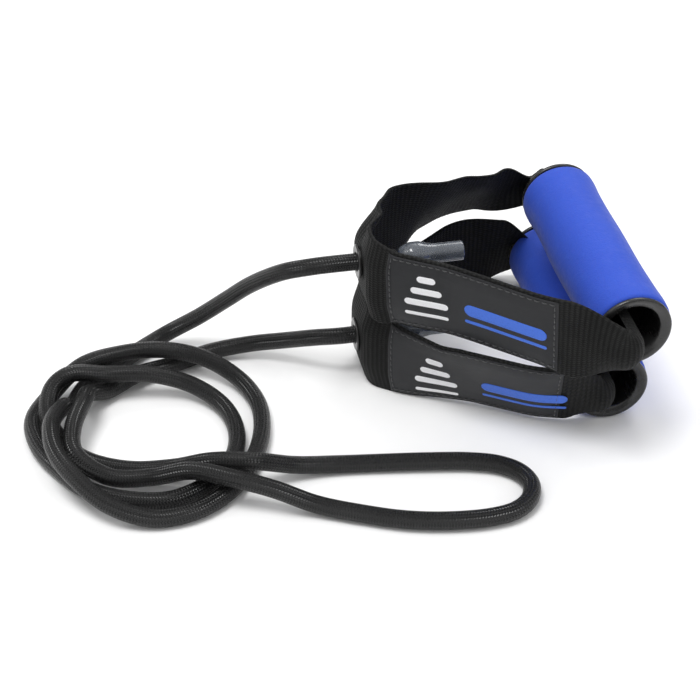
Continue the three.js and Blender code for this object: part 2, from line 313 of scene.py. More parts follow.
def grid_mesh(name, points, along, across, wrap_rows=False, wrap_cols=False, ends=False):
    """A smooth mesh over rows x cols points, with UVs in metres and faces outwards."""
    rows, cols = points.shape[:2]
    row, col = np.meshgrid(
        np.arange(rows if wrap_rows else rows - 1),
        np.arange(cols if wrap_cols else cols - 1),
        indexing="ij",
    )
    row, col = row.ravel(), col.ravel()
    corners = [(row, col), (row + 1, col), (row + 1, col + 1), (row, col + 1)]
    quads = np.stack([(r % rows) * cols + c % cols for r, c in corners], axis=1)
    uv = np.stack([np.stack([along[r], across[c]], axis=1) for r, c in corners], axis=1)
    faces = quads.tolist()
    uv = uv.reshape(-1, 2)
    if ends:
        faces += [list(range(cols))[::-1], list(range((rows - 1) * cols, rows * cols))]
        for at, order in ((along[0], slice(None, None, -1)), (along[rows - 1], slice(None))):
            rim = np.stack([np.full(cols, at), across[:cols]], axis=1)[order]
            uv = np.vstack([uv, rim])
    mesh = bpy.data.meshes.new(name)
    mesh.from_pydata(points.reshape(-1, 3).tolist(), [], faces)
    mesh.uv_layers.new(name="surface").data.foreach_set("uv", uv.astype(np.float32).ravel())
    weld(mesh)
    mesh.shade_smooth()
    mesh.update()
    if wrap_cols and signed_volume(points, quads) < 0:
        mesh.flip_normals()
    obj = bpy.data.objects.new(name, mesh)
    bpy.context.collection.objects.link(obj)
    return obj


def weld(mesh):
    """Joins corners that lie in the same place, so that a pad's rim is closed."""
    body = bmesh.new()
    body.from_mesh(mesh)
    bmesh.ops.remove_doubles(body, verts=body.verts, dist=1e-7)
    body.to_mesh(mesh)
    body.free()


def signed_volume(points, quads):
    flat = points.reshape(-1, 3)
    a, b, c, d = (flat[quads[:, k]] for k in range(4))
    return float(np.sum(a * np.cross(b, c)) + np.sum(a * np.cross(c, d)))


def node_centre(node):
    low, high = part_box(node)
    return (low + high) / 2


# ------------------------------------------------------------------- materials

class Shader:
    """A principled material and short ways to add nodes to it."""

    def __init__(self, name, **values):
        self.material = bpy.data.materials.new(name)
        self.material.use_nodes = True
        self.tree = self.material.node_tree
        self.surface = self.tree.nodes["Principled BSDF"]
        for socket, value in values.items():
            self.surface.inputs[socket.replace("_", " ")].default_value = value

    def node(self, kind, **settings):
        made = self.tree.nodes.new("ShaderNode" + kind)
        for setting, value in settings.items():
            setattr(made, setting, value)
        return made

    def feed(self, node, **inputs):
        """Sets or links a node's inputs, which are named i0, i1 ... or by name."""
        for key, value in inputs.items():
            numbered = key[0] == "i" and key[1:].isdigit()
            socket = node.inputs[int(key[1:]) if numbered else key.replace("_", " ")]
            if isinstance(value, bpy.types.NodeSocket):
                self.tree.links.new(value, socket)
            else:
                socket.default_value = value
        return node

    def math(self, operation, *values):
        node = self.node("Math", operation=operation)
        return self.feed(node, **{f"i{k}": v for k, v in enumerate(values)}).outputs[0]

    def ramp(self, value, low, high, to_low=0.0, to_high=1.0):
        node = self.node("MapRange", clamp=True)
        self.feed(node, i0=value, i1=low, i2=high, i3=to_low, i4=to_high)
        return node.outputs[0]

    def colour_mix(self, share, first, second):
        node = self.node("Mix", data_type="RGBA")
        return self.feed(node, i0=share, i6=first, i7=second).outputs[2]

    def noise(self, scale, detail=3.0, roughness=0.55, stretch=(1, 1, 1)):
        place = self.node("TexCoord").outputs["Object"]
        sized = self.feed(self.node("Mapping"), Vector=place, Scale=stretch).outputs[0]
        node = self.node("TexNoise")
        self.feed(node, Vector=sized, Scale=scale, Detail=detail, Roughness=roughness)
        return node.outputs["Fac"]

    def cells(self, scale):
        place = self.node("TexCoord").outputs["Object"]
        return self.feed(self.node("TexVoronoi"), Vector=place, Scale=scale).outputs["Distance"]

    def uv(self):
        """Distance along and across the piece, in metres."""
        split = self.node("SeparateXYZ")
        self.feed(split, Vector=self.node("UVMap", uv_map="surface").outputs[0])
        return split.outputs[0], split.outputs[1]

    def paint(self, colour, roughness=None):
        self.feed(self.surface, Base_Color=colour)
        if roughness is not None:
            self.feed(self.surface, Roughness=roughness)

    def bump(self, height, distance, strength=1.0):
        node = self.node("Bump")
        self.feed(node, Height=height, Distance=distance, Strength=strength)
        previous = self.surface.inputs["Normal"].links
        if previous:
            self.feed(node, Normal=previous[0].from_socket)
        self.feed(self.surface, Normal=node.outputs[0])


def grey(value, tint=(1, 1, 1)):
    return (value * tint[0], value * tint[1], value * tint[2], 1)


def webbing_material():
    """Black nylon webbing: ribs across it, each plaited from short yarns, with painted shade in the valleys
    between ribs and painted light on the yarn crowns.
    """
    shader = Shader("black_webbing", Sheen_Weight=0.02, Sheen_Roughness=0.4, Specular_IOR_Level=0.14)
    along, across = shader.uv()
    rib = shader.math("MULTIPLY", along, 1 / RIB_PITCH)
    in_rib = shader.math("PINGPONG", rib, 0.5)
    odd_rib = shader.math("FLOORED_MODULO", shader.math("FLOOR", rib), 2.0)
    yarn = shader.math("MULTIPLY", across, 1 / YARN_PITCH)
    staggered = shader.math("ADD", yarn, shader.math("MULTIPLY", odd_rib, 0.5))
    crown = shader.math("MULTIPLY", shader.math("PINGPONG", staggered, 0.5), 2.0)
    fibres = shader.noise(2600, detail=4.0, stretch=(1, 1, 0.35))
    worn = shader.noise(45, detail=5.0)
    # Painted shade: the valleys between the ribs are mixed towards near black.
    painted_valley_shade = shader.ramp(in_rib, 0.10, 0.36, 1.0, 0.0)
    # Painted light: each yarn is lighter on its crown and darker at its sides, following the bump's height.
    light = shader.ramp(crown, 0.1, 0.9, 0.25, 1.0)
    body = shader.colour_mix(light, grey(0.002, (1, 1.03, 1.02)), grey(0.017, (1, 1.03, 1.01)))
    dusty = shader.colour_mix(shader.ramp(worn, 0.5, 0.75, 0.0, 0.5), body, grey(0.03, (1, 1.02, 0.99)))
    shader.paint(
        shader.colour_mix(shader.ramp(painted_valley_shade, 0, 1, 0.0, 0.8), dusty, grey(0.002)),
        shader.ramp(fibres, 0.3, 0.7, 0.5, 0.72),
    )
    shader.bump(crown, 0.16 * MM)
    shader.bump(fibres, 0.05 * MM, 0.8)
    return shader.material


def satin_material():
    """Charcoal satin tape: very fine weft lines, a soft gloss and slight puckers."""
    shader = Shader(
        "charcoal_satin", Anisotropic=0.45, Sheen_Weight=0.05, Sheen_Roughness=0.35,
        Specular_IOR_Level=0.28,
    )
    along, across = shader.uv()
    weft = shader.math("PINGPONG", shader.math("MULTIPLY", across, 1 / WEFT_PITCH), 0.5)
    warp = shader.math("PINGPONG", shader.math("MULTIPLY", along, 1 / WARP_PITCH), 0.5)
    threads = shader.math("ADD", weft, shader.math("MULTIPLY", warp, 0.6))
    slub = shader.noise(900, detail=4.0, stretch=(0.2, 0.2, 2.5))
    cloud = shader.noise(38, detail=4.0)
    base = shader.colour_mix(cloud, grey(0.012, (0.97, 1, 1.14)), grey(0.02, (0.97, 1, 1.14)))
    shader.paint(
        shader.colour_mix(shader.ramp(slub, 0.45, 0.75, 0.0, 0.4), base, grey(0.034, (0.95, 1, 1.14))),
        shader.ramp(slub, 0.3, 0.7, 0.34, 0.5),
    )
    shader.bump(threads, 0.05 * MM, 0.7)
    shader.bump(slub, 0.05 * MM, 0.6)
    return shader.material


def print_material(name, colour, worn_colour):
    """Heat-pressed print on the label: smooth, with the weave just showing through."""
    shader = Shader(name, Specular_IOR_Level=0.4)
    across = shader.uv()[1]
    weft = shader.math("PINGPONG", shader.math("MULTIPLY", across, 1 / WEFT_PITCH), 0.5)
    cracks = shader.noise(1400, detail=5.0, roughness=0.7)
    shader.paint(
        shader.colour_mix(shader.ramp(cracks, 0.52, 0.72, 0.0, 0.45), colour, worn_colour),
        shader.ramp(cracks, 0.3, 0.7, 0.42, 0.6),
    )
    shader.bump(weft, 0.03 * MM, 0.5)
    shader.bump(cracks, 0.04 * MM, 0.5)
    return shader.material


def thread_material():
    """Twisted sewing thread, a little lighter than the tape, with painted shade in the grooves between its
    plies.
    """
    shader = Shader("sewing_thread", Sheen_Weight=0.4, Specular_IOR_Level=0.4)
    along, across = shader.uv()
    twist = shader.math("ADD", along, shader.math("MULTIPLY", across, 0.6))
    ply = shader.math("PINGPONG", shader.math("MULTIPLY", twist, 1 / THREAD_PLY), 0.5)
    fuzz = shader.noise(3200)
    # Painted shade: the thread is darker in the grooves between its plies and lighter on their crowns.
    shader.paint(
        shader.colour_mix(shader.ramp(ply, 0.0, 0.4), grey(0.012), grey(0.06, (0.97, 1, 1.05))),
        shader.ramp(fuzz, 0.3, 0.7, 0.45, 0.65),
    )
    shader.bump(ply, 0.06 * MM)
    return shader.material


def sleeve_material():
    """Braided black sleeve: two sets of flat yarns wound round the cord, with a soft sheen and painted shade
    where the yarns dip under each other.
    """
    shader = Shader("black_braid", Sheen_Weight=0.01, Sheen_Roughness=0.3, Specular_IOR_Level=0.4)
    along, around = shader.uv()
    first = shader.math("MULTIPLY", shader.math("ADD", along, around), 1 / BRAID_PITCH)
    second = shader.math("MULTIPLY", shader.math("SUBTRACT", along, around), 1 / BRAID_PITCH)
    ridge_a = shader.math("MULTIPLY", shader.math("PINGPONG", first, 0.5), 2.0)
    ridge_b = shader.math("MULTIPLY", shader.math("PINGPONG", second, 0.5), 2.0)
    cell = shader.math("ADD", shader.math("FLOOR", first), shader.math("FLOOR", second))
    over = shader.math("FLOORED_MODULO", cell, 2.0)
    picked = shader.node("Mix", data_type="FLOAT")
    plait = shader.feed(picked, i0=over, i2=ridge_a, i3=ridge_b).outputs[0]
    fibres = shader.noise(2400, detail=3.0)
    rubbed = shader.noise(32, detail=4.0)
    # Painted shade: the yarns are darker where they dip under their neighbours and lighter on their crowns.
    yarn = shader.colour_mix(plait, grey(0.001, (0.98, 1, 1.05)), grey(0.009, (0.98, 1, 1.05)))
    shader.paint(
        shader.colour_mix(shader.ramp(rubbed, 0.5, 0.78, 0.0, 0.4), yarn, grey(0.02)),
        shader.ramp(fibres, 0.3, 0.7, 0.2, 0.36),
    )
    shader.bump(plait, 0.22 * MM, 1.0)
    shader.bump(fibres, 0.04 * MM, 0.6)
    return shader.material


def foam_material():
    """Blue closed-cell foam: a matte skin of small open pores, with painted shade inside them, and faint rub
    marks.
    """
    shader = Shader(
        "blue_foam", Sheen_Weight=0.08, Sheen_Roughness=0.5, Specular_IOR_Level=0.22,
        Subsurface_Weight=0.05, Subsurface_Scale=0.002,
    )
    pores = shader.cells(1500)
    coarse = shader.cells(520)
    skin = shader.noise(260, detail=5.0, roughness=0.6)
    patches = shader.noise(28, detail=4.0)
    base = shader.colour_mix(patches, (0.020, 0.062, 0.44, 1), (0.032, 0.088, 0.54, 1))
    # Painted shade: the blue is darkened towards the middle of each pore.
    pore_shaded_base = shader.colour_mix(shader.ramp(pores, 0.0, 0.32, 0.5, 0.0), base, (0.010, 0.028, 0.25, 1))
    shader.paint(
        shader.colour_mix(shader.ramp(skin, 0.56, 0.8, 0.0, 0.3), pore_shaded_base, (0.06, 0.14, 0.62, 1)),
        shader.ramp(skin, 0.3, 0.7, 0.55, 0.78),
    )
    shader.bump(pores, 0.12 * MM, 0.6)
    shader.bump(coarse, 0.12 * MM, 0.35)
    shader.bump(skin, 0.18 * MM, 0.4)
    return shader.material


def plastic_material(name, dark, light, smooth, rough):
    """Moulded plastic: a fine grain, faint scuffs and a varying gloss."""
    shader = Shader(name, Specular_IOR_Level=0.5, Coat_Weight=0.12, Coat_Roughness=0.25)
    grain = shader.noise(1900, detail=3.0)
    scuffs = shader.noise(120, detail=6.0, roughness=0.7, stretch=(1, 0.25, 1))
    shader.paint(
        shader.colour_mix(shader.ramp(scuffs, 0.5, 0.75), dark, light),
        shader.ramp(scuffs, 0.35, 0.7, smooth, rough),
    )
    shader.bump(grain, 0.03 * MM, 0.5)
    shader.bump(scuffs, 0.04 * MM, 0.35)
    return shader.material


def latex_material():
    """Clear smoky latex tube: slightly waxy, with a faint haze and drawn streaks."""
    shader = Shader(
        "clear_latex", Transmission_Weight=0.7, IOR=1.42, Specular_IOR_Level=0.55,
        Coat_Weight=0.5, Coat_Roughness=0.06,
    )
    streaks = shader.noise(160, detail=3.0, stretch=(0.12, 1, 1))
    haze = shader.noise(70, detail=3.0)
    shader.paint(
        shader.colour_mix(haze, (0.17, 0.19, 0.22, 1), (0.30, 0.33, 0.38, 1)),
        shader.ramp(streaks, 0.3, 0.75, 0.1, 0.26),
    )
    shader.bump(streaks, 0.02 * MM, 0.25)
    return shader.material


def floor_material():
    """Plain pale sweep with a barely visible tooth."""
    shader = Shader("pale_floor", Specular_IOR_Level=0.2)
    tooth = shader.noise(150, detail=3.0)
    shader.paint(
        shader.colour_mix(tooth, grey(0.91), grey(0.93)), shader.ramp(tooth, 0.3, 0.7, 0.75, 0.85)
    )
    shader.bump(tooth, 0.02 * MM, 0.3)
    return shader.material


def make_materials():
    white = (0.93, 0.93, 0.95, 1)
    blue = (0.055, 0.17, 0.74, 1)
    return {
        "webbing": webbing_material(),
        "satin": satin_material(),
        "pale_print": print_material("pale_print", white, grey(0.72)),
        "blue_print": print_material("blue_print", blue, (0.04, 0.09, 0.36, 1)),
        "thread": thread_material(),
        "sleeve": sleeve_material(),
        "foam": foam_material(),
        "cap": plastic_material("cap_plastic", grey(0.012), grey(0.03), 0.2, 0.34),
        "tube": plastic_material("tube_plastic", grey(0.02), grey(0.05), 0.38, 0.55),
        "eyelet": plastic_material("eyelet_plastic", grey(0.014), grey(0.04), 0.25, 0.42),
        "latex": latex_material(),
        "floor": floor_material(),
    }


def finish_piece(obj, material, body=None, replaces=()):
    obj.data.materials.clear()
    obj.data.materials.append(material)
    if replaces:
        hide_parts(*replaces)
    if body:
        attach(obj, body)
    return obj


# ------------------------------------------------------------------------ cord

def tube_frames(line):
    """Two directions across the line at each of its points, carried along without twist."""
    ahead = unit(np.gradient(line, axis=0))
    side = np.zeros_like(line)
    side[0] = unit(np.cross(ahead[0], [0, 0, 1.0]))
    for i in range(1, len(line)):
        carried = side[i - 1] - ahead[i] * (side[i - 1] @ ahead[i])
        side[i] = carried / np.linalg.norm(carried)
    return side, np.cross(ahead, side)


def build_cord(material):
    knots = (
        THROUGH_UPPER_EYELET + FROM_UPPER_HANDLE + FIRST_TURN + SECOND_TURN
        + BIGHT_OUT + BIGHT_BACK + TO_LOWER_HANDLE
    )
    line = resampled(centripetal_curve(np.array(knots) * MM), CORD_STEP)
    line[:, 2] = np.maximum(line[:, 2], CORD_DIAMETER / 2)
    side, up = tube_frames(line)
    angles = np.linspace(0, 2 * math.pi, CORD_SIDES, endpoint=False)
    along = lengths_along(line)
    radius = np.full(len(line), CORD_DIAMETER / 2)
    from_end = np.minimum(along, along[-1] - along)
    # The cut edge of the sleeve is rolled under at both ends.
    radius *= 1 - 0.35 * (1 - smooth_share(from_end, 0, 1.6 * MM))
    radius += 0.25 * MM * np.exp(-(((from_end - 2.6 * MM) / (0.9 * MM)) ** 2))
    ring = np.cos(angles)[None, :, None] * side[:, None] + np.sin(angles)[None, :, None] * up[:, None]
    points = line[:, None] + ring * radius[:, None, None]
    around = np.linspace(0, math.pi * CORD_DIAMETER, CORD_SIDES + 1)
    cord = grid_mesh("cord", points, along, around, wrap_cols=True, ends=True)
    finish_piece(cord, material, replaces=("cord_sleeve", "cord_latex_core", "upper_cord_end"))
    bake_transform(cord)
    return cord


# --------------------------------------------------------------------- webbing

class Webbing:
    """The bent surface of one handle's strap, shared by the strap, its label and stitches."""

    def __init__(self, handle):
        self.handle = handle
        outline = rounded_loop([(x, y, r) for x, y, r in handle["corners"]], 0.06) * MM
        closed = np.vstack([outline, outline[:1]])
        self.line = resampled(closed, WEB_STEP)[:-1]
        ahead = unit(np.roll(self.line, -1, axis=0) - np.roll(self.line, 1, axis=0))
        self.out = np.stack([ahead[:, 1], -ahead[:, 0]], axis=1)
        self.along = np.arange(len(self.line)) * WEB_STEP
        self.front = self.line[:, 1] < handle["cord_y"]

    def at(self, rows, across, lift):
        """Points for arrays of row positions (in samples), across from -1 to 1, and lift outwards."""
        rows = np.asarray(rows, float)
        low = np.floor(rows).astype(int) % len(self.line)
        high = (low + 1) % len(self.line)
        share = (rows - np.floor(rows))[..., None]
        flat = mix(self.line[low], self.line[high], share)
        out = unit(mix(self.out[low], self.out[high], share))
        x = flat[..., 0]
        front = self.front[low]
        curl = smooth_share(x, *self.handle["narrows"])
        middle = mix(self.handle["web_z"], self.handle["grip_z"], curl)
        straight = across * WEB_WIDTH / 2
        curled = WEB_CURLED / 2 * np.sin(across * math.pi / 2)
        inwards = WEB_CURL_DEPTH * (1 - np.cos(across * math.pi / 2)) * curl
        tilt = self.tilt(x, front)
        ripple = self.ripple(rows * WEB_STEP, across) * (1 - 0.6 * curl)
        shift = tilt * across + ripple - inwards + lift
        # At the bend the cord pulls the middle out, so both edges curl in.
        tuck = self.handle["bend_tuck"] * smooth_share(across, 0.1, 1.0)
        tuck = tuck * smooth_share(flat[..., 1], *TOP_TUCK_Y)
        tuck = tuck + self.handle["edge_tuck"] * smooth_share(np.abs(across), 0.35, 1.15)
        tuck = tuck * (1 - smooth_share(x, BEND_X, TUCK_END_X))
        place = np.empty(x.shape + (3,))
        place[..., 0] = x + out[..., 0] * shift + tuck
        place[..., 1] = flat[..., 1] + out[..., 1] * shift
        leaning = np.sqrt(1 - np.clip(tilt / (WEB_WIDTH / 2), -0.8, 0.8) ** 2)
        upright = mix(straight * leaning, curled, curl) - self.sag(x, front, across)
        place[..., 2] = middle + upright + self.edge_wave(rows * WEB_STEP, across)
        return place

    def sag(self, x, front, across):
        """The far leg sinks before the grip, and the near leg's top edge dips by the label."""
        sink = self.handle["sink"] * rise_and_fall(x, *SAG_SPAN) * smooth_share(across, -0.6, 0.6)
        dip = self.handle["dip"] * rise_and_fall(x, *DIP_SPAN) * smooth_share(across, 0.3, 1.0)
        return np.where(front, dip, sink)

    def tilt(self, x, front):
        """How far the webbing's top edge stands out from its middle line at that x."""
        tilts = []
        for side in ("front_lean", "back_lean"):
            most, *span = self.handle[side]
            tilts.append(most * rise_and_fall(x, *span))
        return np.where(front, tilts[0], tilts[1])

    def ripple(self, along, across):
        return 0.35 * MM * np.sin(along * 95 + across * 1.3) + 0.25 * MM * np.sin(along * 41 - across * 2.1)

    def edge_wave(self, along, across):
        return 0.25 * MM * np.sin(along * 120) * across

    def row_at(self, x):
        """The sample on the front leg where it passes that x."""
        inside = np.where(self.front)[0]
        inside = inside[: np.argmax(self.line[inside, 0])]
        order = np.argsort(self.line[inside, 0])
        return float(np.interp(x, self.line[inside, 0][order], inside[order]))


def band_section(half_thick, across_count=30, edge_count=5):
    """Across and lift pairs round a flat band with rounded selvedges."""
    edge = half_thick / (WEB_WIDTH / 2)
    quarter = np.linspace(0, math.pi / 2, edge_count)
    outer_edge = 1 - edge + edge * np.cos(quarter[:-1])
    outer_lift = np.sin(quarter[:-1])
    middle = np.linspace(1 - edge, edge - 1, across_count)
    across = np.concatenate([outer_edge, middle, -outer_edge[::-1]])
    lift = np.concatenate([outer_lift, np.ones(across_count), outer_lift[::-1]])
    return (
        np.concatenate([across, across[::-1][1:-1]]),
        np.concatenate([lift, -lift[::-1][1:-1]]) * half_thick,
    )


def build_strap(handle, web, material):
    across, lift = band_section(WEB_THICK / 2)
    rows = np.arange(len(web.line))
    ribs = RIB_HEIGHT * (np.abs(np.cos(math.pi * web.along / RIB_PITCH)) - 0.7)
    body = np.minimum(1, (1 - np.abs(across)) / 0.05)
    raised = lift[None] + ribs[:, None] * np.sign(lift)[None] * body[None]
    points = web.at(np.broadcast_to(rows[:, None], raised.shape), across[None], raised)
    girth = np.concatenate([[0], np.cumsum(np.abs(np.diff(across))), [0]]) * WEB_WIDTH / 2
    girth[-1] = girth[-2] + edge_gap(across)
    along = np.append(web.along, web.along[-1] + WEB_STEP)
    strap = grid_mesh(f"{handle['name']}_webbing", points, along, girth, wrap_rows=True, wrap_cols=True)
    finish_piece(
        strap, material, body=handle["body"], replaces=(f"{handle['name']}_strap",)
    )
    return strap


def edge_gap(across):
    return abs(across[0] - across[-1]) * WEB_WIDTH / 2


# ---------------------------------------------------------------------- labels

def closed_pad(name, under, over, along, across):
    """Joins an under and an over surface into one thin pad with a rounded rim."""
    section = np.concatenate([over, under[:, ::-1]], axis=1)
    middle_first = (over[:1] + under[:1]) / 2
    middle_last = (over[-1:] + under[-1:]) / 2
    first = np.concatenate([middle_first, middle_first[:, ::-1]], axis=1)
    last = np.concatenate([middle_last, middle_last[:, ::-1]], axis=1)
    points = np.concatenate([first, section, last])
    runs = np.concatenate([[along[0]], along, [along[-1]]])
    girth = np.concatenate([across, across[::-1], across[:1]])
    return grid_mesh(name, points, runs, girth, wrap_cols=True)


def build_label(handle, web, material):
    start, end = (web.row_at(x) for x in handle["label_span"])
    rows = np.linspace(start, end, 120)
    across = np.linspace(-LABEL_HALF, LABEL_HALF, 60)
    base = WEB_THICK / 2 + RIB_HEIGHT * 0.3 + LABEL_GAP
    in_from_ends = np.minimum(rows - start, end - rows) * WEB_STEP
    in_from_edges = (LABEL_HALF - np.abs(across)) * WEB_WIDTH / 2
    inset = np.minimum(in_from_ends[:, None], in_from_edges[None])
    # The seam pulls the tape down, and it lifts a little on both sides of it.
    seam = -0.12 * MM * np.exp(-(((inset - STITCH_INSET) / (0.5 * MM)) ** 2))
    rim = -0.2 * MM * (1 - smooth_share(inset, 0, 0.35 * MM))
    pucker = 0.07 * MM * np.sin(rows * WEB_STEP * 1250)[:, None]
    pucker = pucker * np.exp(-((inset / (3.2 * MM)) ** 2))
    pillow = 0.25 * MM * smooth_share(inset, 0.5 * MM, 7 * MM)
    over_lift = base + LABEL_THICK + seam + rim + pucker + pillow
    grid_rows, grid_across = np.meshgrid(rows, across, indexing="ij")
    over = web.at(grid_rows, grid_across, over_lift)
    under = web.at(grid_rows, grid_across, np.full_like(over_lift, base))
    along = (rows - start) * WEB_STEP
    label = closed_pad(f"{handle['name']}_satin_label", under, over, along, across * WEB_WIDTH / 2)
    finish_piece(label, material["satin"], replaces=(f"{handle['name']}_label",))
    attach(label, handle["body"])
    web.label_lift = base + LABEL_THICK + PRINT_GAP
    web.label_rows = (start, end)
    marks = [build_mark(handle, web, *spec, material) for spec in label_marks(handle)]
    stitches = build_stitches(handle, web, material["thread"])
    for piece in [*marks, stitches]:
        piece.parent = label
        piece.matrix_parent_inverse = label.matrix_world.inverted()
    return label


def label_marks(handle):
    """Plain printed marks: name, outline, its place along and up the label, colour."""
    along, up = handle["bars_at"]
    stripes_at = handle["stripes_at"]
    fine_at = (stripes_at[0], stripes_at[1] - FINE_STRIPE_DROP)
    bars = [
        (f"{name}_bar", bar_outline(length * MM, thick * MM), (along, up + rise * MM), "pale_print")
        for name, length, thick, rise in LABEL_BARS
    ]
    return bars + [
        ("stripe", bar_outline(STRIPE_LENGTH, STRIPE_HEIGHT), stripes_at, "blue_print"),
        ("fine_stripe", bar_outline(STRIPE_LENGTH, FINE_STRIPE_HEIGHT), fine_at, "blue_print"),
    ]


def bar_outline(length, height):
    """A long rounded bar: rows along it, columns across it."""
    half, cap = length / 2, height / 2
    # The first row stands a little in from the tip, so that the end face isn't a point.
    round_end = cap * (1 - np.cos(np.linspace(0.15, math.pi / 2, 8)))
    x = np.concatenate([
        -half + round_end, np.linspace(-half + cap, half - cap, 42)[1:-1], half - round_end[::-1],
    ])[:, None]
    past = np.clip((np.abs(x) - (half - cap)) / cap, 0, 1)
    share = np.linspace(-1, 1, 9)[None]
    return x + 0 * share, cap * np.sqrt(1 - past ** 2) * share


def build_mark(handle, web, kind, outline, place, finish, material):
    x, y = outline
    rows = web.label_rows[0] + (place[0] + x) / WEB_STEP
    across = (place[1] + y) / (WEB_WIDTH / 2)
    over = web.at(rows, across, web.label_lift + PRINT_FILM)
    under = web.at(rows, across, web.label_lift - PRINT_FILM)
    points = np.concatenate([over, under[:, ::-1]], axis=1)
    along = np.arange(len(x) + 1) * PRINT_UV_STEP
    girth = np.arange(points.shape[1] + 1) * PRINT_UV_STEP
    name = f"{handle['name']}_label_{kind}"
    mark = grid_mesh(name, points, along, girth, wrap_cols=True, ends=True)
    return finish_piece(mark, material[finish])


def build_stitches(handle, web, material):
    """A lockstitch round the label, each stitch a short bowed length of thread."""
    start, end = web.label_rows
    inset_rows = STITCH_INSET / WEB_STEP
    left, right = start + inset_rows, end - inset_rows
    high = LABEL_HALF - STITCH_INSET / (WEB_WIDTH / 2)
    corners = [(left, -high), (right, -high), (right, high), (left, high), (left, -high)]
    verts, faces, uvs = [], [], []
    for (r0, a0), (r1, a1) in zip(corners, corners[1:]):
        run = abs(r1 - r0) * WEB_STEP + abs(a1 - a0) * WEB_WIDTH / 2
        count = max(1, round(run / STITCH_PITCH))
        for k in range(count):
            first, last = k / count, (k + STITCH_LENGTH / STITCH_PITCH) / count
            share = np.linspace(first, last, 7)
            bow = np.sin(np.linspace(0, math.pi, 7)) * STITCH_BOW - STITCH_BOW
            lift = web.label_lift - STITCH_SINK + bow
            line = web.at(r0 + (r1 - r0) * share, a0 + (a1 - a0) * share, lift)
            add_stitch(line, verts, faces, uvs)
    mesh = bpy.data.meshes.new(f"{handle['name']}_label_stitches")
    mesh.from_pydata(verts, [], faces)
    mesh.uv_layers.new(name="surface").data.foreach_set("uv", np.array(uvs, np.float32).ravel())
    mesh.shade_smooth()
    stitches = bpy.data.objects.new(mesh.name, mesh)
    bpy.context.collection.objects.link(stitches)
    return finish_piece(stitches, material)


def add_stitch(line, verts, faces, uvs):
    sides = 6
    side, up = tube_frames(line)
    base = len(verts)
    taper = np.sqrt(np.sin(np.linspace(0.25, math.pi - 0.25, len(line))))
    travelled = lengths_along(line)
    for i, point in enumerate(line):
        for k in range(sides):
            angle = 2 * math.pi * k / sides
            offset = side[i] * math.cos(angle) + up[i] * math.sin(angle)
            verts.append((point + offset * STITCH_RADIUS * taper[i]).tolist())
    for i in range(len(line) - 1):
        for k in range(sides):
            a, b = base + i * sides + k, base + i * sides + (k + 1) % sides
            faces.append((a, b, b + sides, a + sides))
            u0, u1 = travelled[i], travelled[i + 1]
            v0, v1 = k * STITCH_RADIUS, (k + 1) * STITCH_RADIUS
            uvs += [(u0, v0), (u0, v1), (u1, v1), (u1, v0)]


# ------------------------------------------------------------- turned pieces

def turned_piece(name, corners, centre, axis, segments=96, step=1.2 * MM, shape=None):
    """A turned solid from closed (radius, height, fillet) corners in millimetres."""
    outline = rounded_loop(corners, 0.3) * MM
    outline = resampled(np.vstack([outline, outline[:1]]), step)[:-1]
    angles = np.linspace(0, 2 * math.pi, segments, endpoint=False)
    radius = np.maximum(outline[None, :, 0], 0.01 * MM) + 0 * angles[:, None]
    height = outline[None, :, 1] + 0 * radius
    if shape is not None:
        radius = radius + shape(radius, height, angles[:, None])
    turn_a, turn_b = np.cos(angles)[:, None] * radius, np.sin(angles)[:, None] * radius
    order = {"y": (turn_a, height, turn_b), "x": (height, turn_a, turn_b)}[axis]
    points = np.stack(order, axis=-1) + np.array(centre)
    along = np.linspace(0, 2 * math.pi * outline[:, 0].max(), segments + 1)
    girth = lengths_along(np.vstack([outline, outline[:1]]))
    return grid_mesh(name, points, along, girth, wrap_rows=True, wrap_cols=True)


def foam_softness(radius, height, angle):
    """Slight unevenness of a hand-worn foam sleeve, and a swell where it is pushed on."""
    lumps = 0.16 * MM * np.sin(height * 130 + 2 * angle) + 0.12 * MM * np.sin(height * 71 - 3 * angle)
    end = np.abs(height) - 51 * MM
    swell = 0.3 * MM * np.exp(-((end + 5 * MM) / (5 * MM)) ** 2)
    outer = smooth_share(radius, (FOAM_BORE_R + 0.5) * MM, (FOAM_R - 0.3) * MM)
    return (lumps + swell - 0.25 * MM) * outer


def build_grip(handle, material):
    name = handle["name"]
    centre = node_centre(f"{name}_foam_grip")
    half = (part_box(f"{name}_foam_grip")[1].y - centre.y) / MM
    foam = turned_piece(
        f"{name}_foam_sleeve",
        [
            (FOAM_BORE_R, -half, 0.3), (FOAM_R, -half, 1.8),
            (FOAM_R, half, 1.8), (FOAM_BORE_R, half, 0.3),
        ],
        centre, "y", segments=120, step=0.9 * MM, shape=foam_softness,
    )
    finish_piece(foam, material["foam"], handle["grip_body"], (f"{name}_foam_grip",))
    tube = turned_piece(
        f"{name}_inner_tube",
        [
            (TUBE_BORE_R, -half, 0.3), (TUBE_R, -half, 0.3),
            (TUBE_R, half, 0.3), (TUBE_BORE_R, half, 0.3),
        ],
        centre, "y",
    )
    finish_piece(tube, material["tube"], handle["grip_body"], (f"{name}_grip_tube",))
    for place, facing in (("front", -1), ("rear", 1)):
        build_cap(handle, place, facing, centre, material["cap"])


